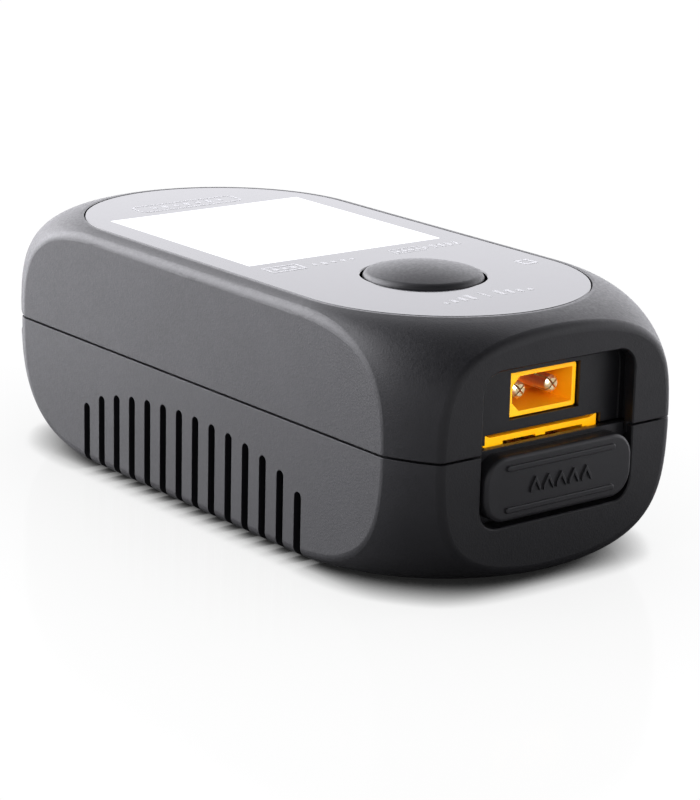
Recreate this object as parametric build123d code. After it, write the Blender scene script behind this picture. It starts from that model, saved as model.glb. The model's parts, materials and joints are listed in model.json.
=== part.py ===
"""Pocket balance charger for small battery packs, as an assembly of separate pieces.

Frame: millimetres, +Z up, origin on the table under the middle of the case.
+X points to the output end, -X to the input end, and the long sides face -Y and +Y.
The functions below draw each piece with the seam at SEAM_Z, and main lifts all of them onto the table.
"""

from build123d import *

import math
import os
from functools import lru_cache

# ---------------------------------------------------------------- case
LENGTH = 88.0
WIDTH = 41.8
UPPER_HEIGHT = 14.35
LOWER_HEIGHT = 16.5
FOOT_PROUD = 0.65
SEAM_GAP = 0.3
WALL = 1.8
TOP_SKIN = 2.2
BOTTOM_SKIN = 1.6
CREASE_RADIUS = 1.3
RIM_RADIUS = 0.25

HALF_L = LENGTH / 2
HALF_W = WIDTH / 2
SEAM_Z = 15.0
TOP_Z = SEAM_Z + UPPER_HEIGHT
BOTTOM_Z = SEAM_Z - LOWER_HEIGHT
TABLE_Z = BOTTOM_Z - FOOT_PROUD
FLOOR_Z = BOTTOM_Z + BOTTOM_SKIN

# The pebble: a stadium at each level, whose spine and end radius shrink towards top and bottom.
# Its levels are fractions of the half's height.
SPINE_MID = 30.0
SPINE_DROP = 8.9
RADIUS_MID = 22.3
POLE_LEVEL = 1.045
LEVELS = (0.0, 0.245, 0.455, 0.63, 0.768, 0.865, 0.935, 0.977, 1.0)

LIP_THICK = 0.8
LIP_DEPTH = 1.2
LIP_CLEAR = 0.1

# ---------------------------------------------------------------- front panel and screen
PANEL_SIZE = (79.4, 37.2)
PANEL_THICK = 1.05
PANEL_GAP = 0.12
ADHESIVE = 0.1
LEDGE_Z = TOP_Z - PANEL_THICK - ADHESIVE
LCD_X = -11.0
LCD_SIZE = (34.4, 32.4)
LCD_THICK = 2.1
LCD_WALL = 0.3
SCREEN_SIZE = (30.4, 29.8)

# ---------------------------------------------------------------- knob and encoder
KNOB_X = 19.05
KNOB_HOLE = 7.62
KNOB_RADIUS = 7.32
KNOB_WALL_PROUD = 0.3
KNOB_DOME = 1.15
KNOB_BROW = 0.9
KNOB_BASE_Z = 25.3
KNOB_TRAVEL = 0.5
SHAFT_RADIUS = 3.0
SHAFT_FLAT = 1.5
RUNNING = 0.05

# ---------------------------------------------------------------- port recesses and the sliding cover
RECESS_DEPTH = 2.7
RECESS_SIZE = (23.05, 18.35)
RECESS_MID_Z = SEAM_Z + 0.22
RECESS_CORNER = 2.6
MOUTH_CHAMFER = 0.15
TUB_WALL = 1.5
TUB_HALF = (14.0, 11.2)  # half width and half height of the wall around a recess
RECESS_FLOOR = HALF_L - RECESS_DEPTH
PLATE_X = RECESS_FLOOR + 0.3
COVER_DROP = 4.35  # the pad rests this far below the seam and slides up twice as far
PLATE_WIDTH = 24.4
PLATE_Z = (SEAM_Z - 7.95, SEAM_Z)
PLATE_THICK = 0.8
PLATE_CLEAR = 0.15
PAD_SIZE = (22.4, 7.7)
PAD_CORNER = 3.0
PAD_PROUD = 0.5
PAD_ROUND = 0.5
RIDGE_SIZE = (16.6, 0.7)
RIDGE_OFFSET = 2.45
RIDGE_PROUD = 0.28
MARK_COUNT = 5
MARK_PITCH = 1.95
MARK_PROUD = 0.25

# ---------------------------------------------------------------- connectors
PORT_SETBACK = 0.5
PORT_X = RECESS_FLOOR - PORT_SETBACK
XT_SIZE = (10.2, 5.2)
XT_WALL = 0.55
XT_ROUND = 0.35
XT_LENGTH = 11.3
XT_CAVITY = 6.6
XT_CHAMFER = 1.05
XT_WINDOW = (0.2, 0.15)
PIN_PITCH = 5.0
PIN_RADIUS = 1.0
PIN_SHOULDER = 2.3  # across the corners of the hexagon held in the housing
PIN_LENGTH = 5.6
PIN_TIP_CHAMFER = 0.3
PIN_TAIL = 0.6
PIN_TAIL_BACK = 1.05
PIN_SLIT = (0.2, 2.4)  # width and depth
PIN_SLIT_TURN = 40.0
SOCKET_SIZE = (17.3, 5.75)
SOCKET_WALL = 0.65
SOCKET_END = 1.4
SOCKET_LENGTH = 7.4
SOCKET_BUMP = (0.9, 0.45)  # width and height of the little horns on the top corners
SOCKET_BUMP_CLEAR = 0.2
SOCKET_SLOT = (1.8, 3.5)  # width and length of the two notches in the bottom wall
SOCKET_PIN_BACK = 1.4
# Keys inside the balance socket's top wall: middle, width and drop.
SOCKET_KEYS = ((-7.0, 2.6, 0.45), (0.0, 1.5, 0.25), (7.0, 1.0, 0.3))
SOCKET_BACK_WALL = 1.2
SOCKET_PINS = 6
SOCKET_PITCH = 2.5
SOCKET_PIN = 0.64
USB_SIZE = (8.94, 3.2)
USB_CORNER = 1.5
USB_SKIN = 0.3
USB_LENGTH = 7.3
USB_TONGUE = (6.7, 0.7)
USB_TONGUE_BASE = 1.6

# ---------------------------------------------------------------- boards
BOARD = 1.6
CONTROL_Z = 16.1
CONTROL_TOP = CONTROL_Z + BOARD
XT_Z = CONTROL_TOP + XT_SIZE[1] / 2
POWER_Z = 8.4
POWER_TOP = POWER_Z + BOARD
SOCKET_TOP = POWER_TOP + SOCKET_SIZE[1]
USB_BOARD = 1.2
USB_Z = SEAM_Z - COVER_DROP
USB_TOP = USB_Z - USB_SIZE[1] / 2
USB_BOARD_Z = USB_TOP - USB_BOARD
BOARD_END = 39.0
BOARD_HALF = 17.4
SOLDER_TAIL = 0.8
HOLE_SLACK = 0.12

# ---------------------------------------------------------------- screen ribbon, encoder, headers, heatsink
FLEX_X, FLEX_WIDTH, FLEX_THICK = 5.0, 12.0, 0.16
FLEX_TOP = LEDGE_Z - LCD_THICK - 0.1
FLEX_LOW = CONTROL_TOP + 0.7
ENCODER_SIDE = 12.4
ENCODER_TOP = CONTROL_TOP + 5.6
BUSHING_TOP = ENCODER_TOP + 1.2
COLLAR_RADIUS = 4.4
COLLAR_Z = 21.6
PLUNGER_TOP = 19.9
PLUNGER = (1.5, 2.4, 0.5)  # stem radius, foot radius, foot thickness
BUSHING_RADIUS = 3.8
CLIP_THICK = 0.4
CLIP_HALF = 3.8
CLIP_LEG = 1.0  # half width of a leg where it enters the board
KNOB_SKIN = 1.2
KNOB_HUB = 5.0
SOCKET_BACK = PORT_X - SOCKET_LENGTH
SOCKET_TAIL_X = SOCKET_BACK - 1.1
SOCKET_MID_Z = POWER_TOP + SOCKET_SIZE[1] / 2
HEADER_PITCH = 2.0
HEADER_PIN = 0.5
WIDE_HEADER = (9.2, 23.8, -16.3, -11.7)  # first x, last x, first y, last y
WIDE_HEADER_PINS = (7, 10.5, (-15.0, -13.0))  # count along x, first x, the two rows
NARROW_HEADER = (-32.2, -29.8, -4.2, 4.2)
NARROW_HEADER_PINS = (4, -31.0)  # count along y, x
SINK = (10.0, 31.0, 8.6)  # first x, last x, half width
SINK_BASE_Z = 6.3
PAD_THICK = 0.5
SINK_FINS = 9
SINK_FIN = 0.9

# ---------------------------------------------------------------- parts on the boards
CONTROL_CHIPS = ((-14, -7, 9, 7, 1.5), (-25, -4, 5, 4, 1.3), (8, 10, 6, 4, 1.4),
                 (8, -9.5, 5, 4, 1.4), (-8, 9, 5, 4, 1.2))  # x, y, length, width, height
CHIP_STANDOFF = 0.1
LEAD_PITCH = 1.3
LEAD_SIZE = (0.5, 0.9, 0.2)  # width, reach, thickness
MOSFET_SPOTS = ((13.5, 2.4), (13.5, 9.0), (13.5, -5.5), (21.5, -5.5))
MOSFET_SIZE = (5.2, 4.6, 1.2)
CAN_X, CAN_ROWS = 6.2, (-7.2, 0.0, 7.2)
CAN_RADIUS, CAN_HEIGHT = 3.1, 5.5
CAN_GROOVE = (1.0, 1.4, 2.85)  # low and high edge, radius inside it
CHOKE_MIDDLE, CHOKE_HALF = (21.7, 5.6), (4.5, 5.0)
CHOKE_HEIGHT, CHOKE_CORNER = 4.6, 1.6
CHOKE_TURRET = (3.6, 5.2)  # radius and height
SHUNT_X, SHUNT_Y = (25.2, 31.2), (-5.6, -2.6)
SHUNT_HEIGHT, SHUNT_RISE, SHUNT_FOOT = 1.4, 0.8, 1.2
RESISTOR_SIZE = (3.2, 1.6, 0.6)
RESISTOR_SPOTS = ((29.6, 6.4), (29.6, 3.8), (29.6, 1.2), (29.6, -7.8), (12.6, 13.2), (17.6, 13.2))
BUZZER_AT = (-21.0, 8.0)
BUZZER_RADIUS, BUZZER_HEIGHT = 4.2, 5.0
BUZZER_HOLE = (0.9, 2.5)  # radius, and how far up its floor is

# ---------------------------------------------------------------- posts and fasteners
POST_X, POST_Y = 29.0, 13.2
POST_RADIUS = 2.9
POST_FOOT_RADIUS = 3.9
SCREW_RADIUS = 1.0
SCREW_HEAD = (1.9, 1.3)
SCREW_SEAT_Z = BOTTOM_Z + 4.0
SCREW_TIP_Z = 23.0
SMALL_SCREW = 0.85
SMALL_HEAD = (1.6, 1.1)
POWER_BOSSES = ((5.0, 14.0), (5.0, -14.0))
USB_BOSSES = ((-31.0, 6.6), (-31.0, -6.6))
FOOT_X, FOOT_Y = 21.0, 14.0
FOOT_RADIUS = 3.0
FOOT_SUNK = 0.8

# ---------------------------------------------------------------- fan
FAN_X = -12.5
FAN_SIZE = 25.0
FAN_PITCH = 20.0
FAN_Z0, FAN_Z1 = 4.0, 11.0
FAN_BORE = 11.7
FAN_BLADES = 9
BLADE_PITCH = 38.0
BLADE_SIZE = (6.0, 0.7, 6.6)
BLADE_GAP = 0.4
HUB_RADIUS = 6.9
HUB_SKIN = 1.0
SPINDLE_RADIUS = 0.75
BEARING_RADIUS = 1.7
BEARING_HEIGHT = 5.0
FAN_BASE = (6.0, 0.9)  # radius and thickness of the plate that carries the bearing
FAN_ARM = 1.6
POLE_LOW, POLE_HIGH = 1.6, 4.0  # above the fan's underside
POLE_WIDTH, TIP_WIDTH = 2.6, 4.8
STATOR_RADIUS, STATOR_CORE = 5.5, 3.0
WIRE_RADIUS, WIRE_ROWS = 0.4, (4.0, 5.6)
PLUG = (-1.4, 2.4, 2.2, 7.4)  # first x, last x, first y, last y
PLUG_HEIGHT = 2.6

# ---------------------------------------------------------------- vents
SLOT_COUNT = 14
SLOT_PITCH = 3.47
SLOT_WIDTH = 1.35
SLOT_REACH = 2.7
SLOT_ELLIPSE = (23.4, 5.5)  # half length and rise of the curve that the slot tops follow
SLOT_BASE = -9.6
INTAKE_RADIUS = 10.0
INTAKE_PITCH = 3.0
INTAKE_WIDTH = 1.5

# ---------------------------------------------------------------- wrist-strap notch
STRAP_ANGLES = (25.0, 46.0)
STRAP_DEPTH = 3.0
STRAP_HEIGHT = 2.8
STRAP_POST = (21.0, 38.0, 0.8)  # distance from the corner centre, angle, radius


# ================================================================ small helpers
def block(x0, x1, y0, y1, z0, z1):
    """A box between two corners."""
    return Pos((x0 + x1) / 2, (y0 + y1) / 2, (z0 + z1) / 2) * Box(abs(x1 - x0), abs(y1 - y0), abs(z1 - z0))


def slab(z0, z1):
    """Everything between two heights."""
    return block(-60, 60, -40, 40, z0, z1)


def rod(radius, start, end):
    """A cylinder between two points."""
    a, b = Vector(*start), Vector(*end)
    return extrude(Plane(origin=a, z_dir=b - a) * Circle(radius), (b - a).length)


def peg(radius, x, y, z0, z1):
    """A cylinder standing on Z."""
    return rod(radius, (x, y, z0), (x, y, z1))


def end_plate(size, corner, x0, x1, z, y=0.0):
    """A rounded rectangle facing +X, from x0 to x1."""
    face = Plane(origin=(x0, y, z), x_dir=(0, 1, 0), z_dir=(1, 0, 0)) * RectangleRounded(*size, corner)
    return extrude(face, x1 - x0)


def stadium(size, z0, z1):
    """A full-round slot shape along X, from z0 to z1."""
    return extrude(Pos(0, 0, z0) * SlotOverall(*size), z1 - z0)


def group(shapes):
    """Separate solids that share one node."""
    solids = []
    for shape in shapes:
        solids.extend(shape.solids())
    return Compound(children=solids)


def other_end(shape):
    """The same shape turned half a turn about Z, at the other end of the case."""
    return Rot(0, 0, 180) * shape


def corners(x, y):
    """The four points at plus and minus x and y."""
    return [(sx * x, sy * y) for sx in (-1, 1) for sy in (-1, 1)]


# ================================================================ case shape
def spine(level):
    return SPINE_MID - SPINE_DROP * level**3


def end_radius(level):
    return RADIUS_MID * (1 - (level / POLE_LEVEL) ** 8) ** (1 / 8)


@lru_cache(maxsize=None)
def half_pebble(height, side_inset, cap_inset):
    """One half of the case, shrunk by the insets, standing with its seam at z = 0."""
    inside = height - cap_inset
    levels = []
    for level in LEVELS:
        radius = end_radius(level) - side_inset
        levels.append(Pos(0, 0, level * inside) * SlotOverall(2 * (spine(level) + radius), 2 * radius))
    x, y = HALF_L - side_inset, HALF_W - side_inset
    return loft(levels) & block(-x, x, -y, y, 0, inside)


def lies_on(edge, axis, value):
    """Whether an edge lies wholly in the plane axis = plus or minus value."""
    box = edge.bounding_box()
    low, high = getattr(box.min, axis), getattr(box.max, axis)
    return abs(abs(low) - value) < 1e-3 and abs(high - low) < 1e-3


def is_crease(edge):
    """Whether an edge is the upper border of a flat side or end, and not part of the seam."""
    on_flat = lies_on(edge, "X", HALF_L) or lies_on(edge, "Y", HALF_W)
    return on_flat and not lies_on(edge, "Z", 0)


@lru_cache(maxsize=None)
def half_case(height):
    """One half of the case's outside, with its flat faces softly rounded into the pebble."""
    body = half_pebble(height, 0, 0)
    body = body.fillet(CREASE_RADIUS, body.edges().filter_by(is_crease))
    rim = [edge for edge in body.edges() if lies_on(edge, "Z", height)]
    return body.fillet(RIM_RADIUS, rim)


def upper_pebble(side_inset, cap_inset):
    """The upper half body in its place, shrunk by the insets."""
    return Pos(0, 0, SEAM_Z) * half_pebble(UPPER_HEIGHT, side_inset, cap_inset)


def lower_pebble(side_inset, cap_inset):
    """The lower half body in its place, shrunk by the insets."""
    return Pos(0, 0, SEAM_Z) * mirror(half_pebble(LOWER_HEIGHT, side_inset, cap_inset), Plane.XY)


def tubs():
    """The thick walls that carry the two port recesses, before the recesses are cut."""
    y, z = TUB_HALF
    reach = block(RECESS_FLOOR - TUB_WALL, HALF_L - 0.6, -y, y, SEAM_Z - z, SEAM_Z + z)
    return [reach, other_end(reach)]


def window(width, z0, z1):
    """A connector opening through a recess floor."""
    return block(RECESS_FLOOR - 3, RECESS_FLOOR + 1, -width / 2, width / 2, z0, z1)


def recess():
    """The recess with its softened mouth, and the power connector's window, cut at both ends."""
    cut = end_plate(RECESS_SIZE, RECESS_CORNER, RECESS_FLOOR, HALF_L + 1, RECESS_MID_Z)
    mouth = Plane(origin=(HALF_L - MOUTH_CHAMFER, 0, RECESS_MID_Z), x_dir=(0, 1, 0), z_dir=(1, 0, 0))
    cut += extrude(mouth * RectangleRounded(*RECESS_SIZE, RECESS_CORNER), 2 * MOUTH_CHAMFER, taper=-45)
    half = XT_SIZE[1] / 2 + XT_WINDOW[1]
    return cut + window(XT_SIZE[0] + 2 * XT_WINDOW[0], XT_Z - half, XT_Z + half) + cover_grooves()


def cover_grooves():
    """The slot in which a cover's plate slides, reaching into both side walls of the recess."""
    x0, x1 = PLATE_X - PLATE_CLEAR, PLATE_X + PLATE_THICK + PLATE_CLEAR
    y = PLATE_WIDTH / 2 + PLATE_CLEAR
    return block(x0, x1, -y, y, PLATE_Z[0] - PLATE_CLEAR, PLATE_Z[1] + 2 * COVER_DROP + PLATE_CLEAR)


def output_cuts():
    """Recess, slider grooves and connector windows of the output end."""
    width = SOCKET_SIZE[0] + 2 * XT_WINDOW[0]
    return recess() + window(width, POWER_TOP - 0.1, SOCKET_TOP + SOCKET_BUMP[1] + 0.1)


def input_cuts():
    """Recess and connector windows of the input end."""
    usb = end_plate((USB_SIZE[0] + 0.4, USB_SIZE[1] + 0.4), USB_CORNER + 0.1, RECESS_FLOOR - 3, HALF_L, USB_Z)
    return other_end(recess() + usb)


def strap_sector(start, end, z0, z1):
    """A wedge about the input end's corner centre, between two angles measured from -Y."""
    points = [(-SPINE_MID, 0)]
    for angle in (start, end):
        turn = math.radians(angle)
        points.append((-SPINE_MID - 40 * math.sin(turn), -40 * math.cos(turn)))
    return extrude(Pos(0, 0, z0) * make_face(Polyline(*points, close=True)), z1 - z0)


def strap_fill(z0, z1):
    """Extra wall around the strap notch."""
    start, end = STRAP_ANGLES
    return strap_sector(start - 4, end + 3, z0, z1)


def seam_ring(outer_inset, inner_inset, depth):
    """A band that follows the wall just below the seam, open at the strap notch."""
    band = lower_pebble(outer_inset, 1.0) - lower_pebble(inner_inset, 1.0)
    band &= slab(SEAM_Z - depth, SEAM_Z)
    return band - strap_fill(TABLE_Z, TOP_Z)


# ================================================================ shells
def make_top_shell():
    solid = upper_pebble(0.5, 1.0)
    shell = Pos(0, 0, SEAM_Z) * half_case(UPPER_HEIGHT) - upper_pebble(WALL, TOP_SKIN)
    for reach in tubs():
        shell += solid & reach
    for x, y in corners(POST_X, POST_Y):
        shell += peg(POST_RADIUS, x, y, CONTROL_TOP, TOP_Z - TOP_SKIN + 0.5)
    shell += (solid - upper_pebble(4.5, 1.0)) & strap_fill(SEAM_Z, SEAM_Z + 1.6)
    shell -= slab(SEAM_Z - 1, SEAM_Z + SEAM_GAP / 2)
    lip_outer = WALL - LIP_THICK
    rise = (upper_pebble(lip_outer, 1.0) - upper_pebble(WALL, 1.0)) & slab(SEAM_Z, SEAM_Z + 1)
    shell += rise - strap_fill(TABLE_Z, SEAM_Z + SEAM_GAP / 2)
    shell += seam_ring(lip_outer, WALL, LIP_DEPTH)
    gap = 2 * PANEL_GAP
    shell -= stadium((PANEL_SIZE[0] + gap, PANEL_SIZE[1] + gap), LEDGE_Z, TOP_Z + 1)
    lcd_x, lcd_y = LCD_SIZE[0] / 2 + 0.2, LCD_SIZE[1] / 2 + 0.2
    lcd_z = LEDGE_Z - LCD_THICK - 0.2
    shell -= block(LCD_X - lcd_x, LCD_X + lcd_x, -lcd_y, lcd_y, lcd_z, TOP_Z)
    shell -= peg(KNOB_HOLE + 0.4, KNOB_X, 0, TOP_Z - 5, TOP_Z)
    for x, y in corners(POST_X, POST_Y):
        shell -= peg(SCREW_RADIUS + 0.02, x, y, SEAM_Z, SCREW_TIP_Z + 1)
    return shell - output_cuts() - input_cuts()


def vent_slots():
    """The rows of upright slots in both long sides, which run on round the bottom edge."""
    cuts = []
    half, rise = SLOT_ELLIPSE
    for i in range(SLOT_COUNT):
        x = (i - (SLOT_COUNT - 1) / 2) * SLOT_PITCH
        top = SEAM_Z + SLOT_BASE + rise * math.sqrt(1 - (x / half) ** 2) - SLOT_WIDTH / 2
        for side in (-1, 1):
            near, far = side * (HALF_W + 1), side * (HALF_W - SLOT_REACH)
            cuts.append(block(x - SLOT_WIDTH / 2, x + SLOT_WIDTH / 2, near, far, TABLE_Z, top))
            cuts.append(rod(SLOT_WIDTH / 2, (x, near, top), (x, far, top)))
    return cuts


def intake_slots():
    """Round-ended slots through the floor under the fan, filling a circle."""
    cuts = []
    count = int(INTAKE_RADIUS / INTAKE_PITCH)
    for i in range(-count, count + 1):
        y = i * INTAKE_PITCH
        length = 2 * math.sqrt(INTAKE_RADIUS**2 - y**2)
        cuts.append(Pos(FAN_X, y, 0) * stadium((length, INTAKE_WIDTH), TABLE_Z, FLOOR_Z + 0.5))
    return cuts


def fan_holes():
    return [(FAN_X + x, y) for x, y in corners(FAN_PITCH / 2, FAN_PITCH / 2)]


def strap_notch():
    """The notch in the lower shell's upper edge, with a post left standing for the strap."""
    z0 = SEAM_Z - STRAP_HEIGHT
    notch = strap_sector(*STRAP_ANGLES, z0, SEAM_Z) - lower_pebble(STRAP_DEPTH, 1.0)
    distance, angle, radius = STRAP_POST
    turn = math.radians(angle)
    x, y = -SPINE_MID - distance * math.sin(turn), -distance * math.cos(turn)
    return notch - peg(radius, x, y, TABLE_Z, TOP_Z)


def make_bottom_shell():
    solid = lower_pebble(0.5, 1.0)
    shell = Pos(0, 0, SEAM_Z) * mirror(half_case(LOWER_HEIGHT), Plane.XY) - lower_pebble(WALL, BOTTOM_SKIN)
    for reach in tubs():
        shell += solid & reach
    shell += (solid - lower_pebble(4.5, 1.0)) & strap_fill(SEAM_Z - STRAP_HEIGHT - 1.2, SEAM_Z)
    shell -= slab(SEAM_Z - SEAM_GAP / 2, SEAM_Z + 1)
    inside = FLOOR_Z - 0.2
    for x, y in corners(POST_X, POST_Y):
        shell += peg(POST_FOOT_RADIUS, x, y, inside, POWER_Z)
        shell += peg(POST_RADIUS, x, y, inside, CONTROL_Z)
    for x, y in POWER_BOSSES:
        shell += peg(1.9, x, y, inside, POWER_Z)
    for x, y in USB_BOSSES:
        shell += peg(1.9, x, y, inside, USB_BOARD_Z)
    for x, y in fan_holes():
        shell += peg(2.1, x, y, inside, FAN_Z0)
    shell -= seam_ring(WALL - LIP_THICK - LIP_CLEAR, WALL + LIP_CLEAR, LIP_DEPTH + LIP_CLEAR)
    shell -= strap_notch()
    for cut in vent_slots() + intake_slots():
        shell -= cut
    for x, y in corners(POST_X, POST_Y):
        shell -= peg(SCREW_RADIUS + 0.1, x, y, TABLE_Z, CONTROL_Z + 1)
        shell -= peg(SCREW_HEAD[0] + 0.25, x, y, TABLE_Z, SCREW_SEAT_Z)
    for x, y in POWER_BOSSES + USB_BOSSES:
        shell -= peg(SMALL_SCREW + 0.02, x, y, FLOOR_Z + 0.3, POWER_Z + 1)
    for x, y in fan_holes():
        shell -= peg(SMALL_SCREW + 0.02, x, y, FLOOR_Z - 0.5, FAN_Z0 + 1)
    for x, y in corners(FOOT_X, FOOT_Y):
        shell -= peg(FOOT_RADIUS + 0.05, x, y, TABLE_Z, BOTTOM_Z + FOOT_SUNK)
    return shell - output_cuts() - input_cuts()


def make_rubber_feet():
    feet = []
    for x, y in corners(FOOT_X, FOOT_Y):
        foot = peg(FOOT_RADIUS, x, y, TABLE_Z, BOTTOM_Z + FOOT_SUNK)
        feet.append(chamfer(foot.edges().group_by(Axis.Z)[0], 0.35))
    return group(feet)


def screw(radius, head, x, y, seat, tip, head_up):
    """A pan-head screw with a cross recess; head_up puts the head above its seat."""
    head_radius, head_height = head
    sign = 1 if head_up else -1
    crown = seat + sign * head_height
    body = peg(radius, x, y, min(seat, tip), max(seat, tip))
    cap = peg(head_radius, x, y, min(seat, crown), max(seat, crown))
    edge = cap.edges().group_by(Axis.Z)[-1 if head_up else 0]
    body += fillet(edge, 0.35)
    deep = crown - sign * 0.6
    for wide, thin in ((0.9, 0.2), (0.2, 0.9)):
        body -= block(x - wide, x + wide, y - thin, y + thin, min(crown, deep), max(crown, deep))
    return body


def make_shell_screws():
    return group([screw(SCREW_RADIUS, SCREW_HEAD, x, y, SCREW_SEAT_Z, SCREW_TIP_Z, False)
                  for x, y in corners(POST_X, POST_Y)])


def make_board_screws():
    screws = [screw(SMALL_SCREW, SMALL_HEAD, x, y, POWER_TOP, FLOOR_Z + 1, True) for x, y in POWER_BOSSES]
    screws += [screw(SMALL_SCREW, SMALL_HEAD, x, y, USB_TOP, FLOOR_Z + 1, True) for x, y in USB_BOSSES]
    return group(screws)


def make_fan_screws():
    return group([screw(SMALL_SCREW, SMALL_HEAD, x, y, FAN_Z1, FLOOR_Z - 0.3, True) for x, y in fan_holes()])


# ================================================================ front panel and screen
def make_front_panel():
    panel = stadium(PANEL_SIZE, TOP_Z - PANEL_THICK, TOP_Z)
    panel -= peg(KNOB_HOLE, KNOB_X, 0, 0, TOP_Z + 1)
    return chamfer(panel.edges().group_by(Axis.Z)[-1], 0.12)


def make_panel_adhesive():
    sheet = stadium((PANEL_SIZE[0] - 0.6, PANEL_SIZE[1] - 0.6), LEDGE_Z, LEDGE_Z + ADHESIVE)
    sheet -= peg(KNOB_HOLE + 0.6, KNOB_X, 0, 0, TOP_Z)
    x, y = SCREEN_SIZE[0] / 2 + 0.4, SCREEN_SIZE[1] / 2 + 0.4
    return sheet - block(LCD_X - x, LCD_X + x, -y, y, 0, TOP_Z)


def lcd_layer(shrink, z0, z1):
    x, y = LCD_SIZE[0] / 2 - shrink, LCD_SIZE[1] / 2 - shrink
    return block(LCD_X - x, LCD_X + x, -y, y, z0, z1)


def make_lcd_tray():
    z0 = LEDGE_Z - LCD_THICK
    tray = lcd_layer(0, z0, LEDGE_Z) - lcd_layer(LCD_WALL, z0 + LCD_WALL, TOP_Z)
    return fillet(tray.edges().filter_by(Axis.Z).group_by(Axis.X)[0], 0.25)


def make_lcd_backlight():
    return lcd_layer(LCD_WALL + 0.1, LEDGE_Z - LCD_THICK + LCD_WALL, LEDGE_Z - 0.8)


def make_lcd_glass():
    return lcd_layer(LCD_WALL + 0.1, LEDGE_Z - 0.8, LEDGE_Z - 0.05)


def make_lcd_flex():
    """The screen's ribbon: along under the tray, round one bend and back into its connector."""
    y, half = FLEX_WIDTH / 2, FLEX_THICK / 2
    middle, bend = (FLEX_TOP + FLEX_LOW) / 2, (FLEX_TOP - FLEX_LOW) / 2
    loop = rod(bend + half, (FLEX_X, -y, middle), (FLEX_X, y, middle))
    loop -= rod(bend - half, (FLEX_X, -y - 1, middle), (FLEX_X, y + 1, middle))
    loop &= block(FLEX_X, FLEX_X + 10, -y, y, 0, TOP_Z)
    loop += block(-6, FLEX_X, -y, y, FLEX_TOP - half, FLEX_TOP + half)
    return loop + block(-3.4, FLEX_X, -y, y, FLEX_LOW - half, FLEX_LOW + half)


def make_flex_connector():
    y = FLEX_WIDTH / 2
    body = block(-5, -0.5, -y - 1.4, y + 1.4, CONTROL_TOP, CONTROL_TOP + 1.7)
    body = chamfer(body.edges().group_by(Axis.Z)[-1], 0.3)
    return body - block(-3.5, 0, -y - 0.1, y + 0.1, FLEX_LOW - 0.15, FLEX_LOW + 0.15)


# ================================================================ knob and encoder
def make_knob():
    """A cap with a smooth dome, a skirt inside the panel hole and a hub on the flatted shaft."""
    wall_top = TOP_Z + KNOB_WALL_PROUD
    dome_radius = (KNOB_RADIUS**2 + KNOB_DOME**2) / (2 * KNOB_DOME)
    with BuildPart() as knob:
        with BuildSketch(Plane.XZ):
            with BuildLine():
                Line((0, KNOB_BASE_Z), (KNOB_RADIUS, KNOB_BASE_Z))
                Line((KNOB_RADIUS, KNOB_BASE_Z), (KNOB_RADIUS, wall_top))
                RadiusArc((KNOB_RADIUS, wall_top), (0, wall_top + KNOB_DOME), -dome_radius)
                Line((0, wall_top + KNOB_DOME), (0, KNOB_BASE_Z))
            make_face()
        revolve(axis=Axis.Z)
    body = knob.part
    brow = body.edges().filter_by_position(Axis.Z, wall_top - 0.01, wall_top + 0.01)
    body = fillet(brow, KNOB_BROW)
    inside = wall_top - KNOB_SKIN
    body -= peg(KNOB_RADIUS - KNOB_SKIN, 0, 0, 0, inside) - peg(KNOB_HUB, 0, 0, 0, TOP_Z)
    body -= shaft_profile(0.0, KNOB_BASE_Z - 1, inside)
    return Pos(KNOB_X, 0, 0) * body


def shaft_profile(extra, z0, z1):
    """The flatted end of the shaft, standing on the origin."""
    return peg(SHAFT_RADIUS + extra, 0, 0, z0, z1) & block(-SHAFT_FLAT - extra, 9, -9, 9, z0, z1)


def make_encoder_shaft():
    flat_z = KNOB_BASE_Z - 0.1
    shaft = peg(SHAFT_RADIUS, 0, 0, PLUNGER_TOP + 0.05, flat_z)
    shaft += shaft_profile(0.0, flat_z, TOP_Z + KNOB_WALL_PROUD - KNOB_SKIN - 0.1)
    shaft += peg(COLLAR_RADIUS, 0, 0, COLLAR_Z, COLLAR_Z + 1.0)
    return Pos(KNOB_X, 0, 0) * shaft


def make_encoder_body():
    half = ENCODER_SIDE / 2
    body = block(-half, half, -half + 0.3, half - 0.3, CONTROL_TOP, ENCODER_TOP)
    body = chamfer(body.edges().filter_by(Axis.Z), 0.8)
    body += peg(BUSHING_RADIUS, 0, 0, ENCODER_TOP, BUSHING_TOP)
    body -= peg(SHAFT_RADIUS + RUNNING, 0, 0, PLUNGER_TOP - KNOB_TRAVEL - 0.2, TOP_Z)
    body -= peg(COLLAR_RADIUS + 0.3, 0, 0, COLLAR_Z - KNOB_TRAVEL - 0.2, COLLAR_Z + 1.1)
    body -= peg(PLUNGER[1] + 0.1, 0, 0, CONTROL_TOP + 0.4, PLUNGER_TOP)
    return Pos(KNOB_X, 0, 0) * body


def make_switch_plunger():
    stem, foot, thick = PLUNGER
    foot_z = CONTROL_TOP + 1.0
    plunger = peg(stem, 0, 0, foot_z, PLUNGER_TOP) + peg(foot, 0, 0, foot_z, foot_z + thick)
    return Pos(KNOB_X, 0, 0) * plunger


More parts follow.
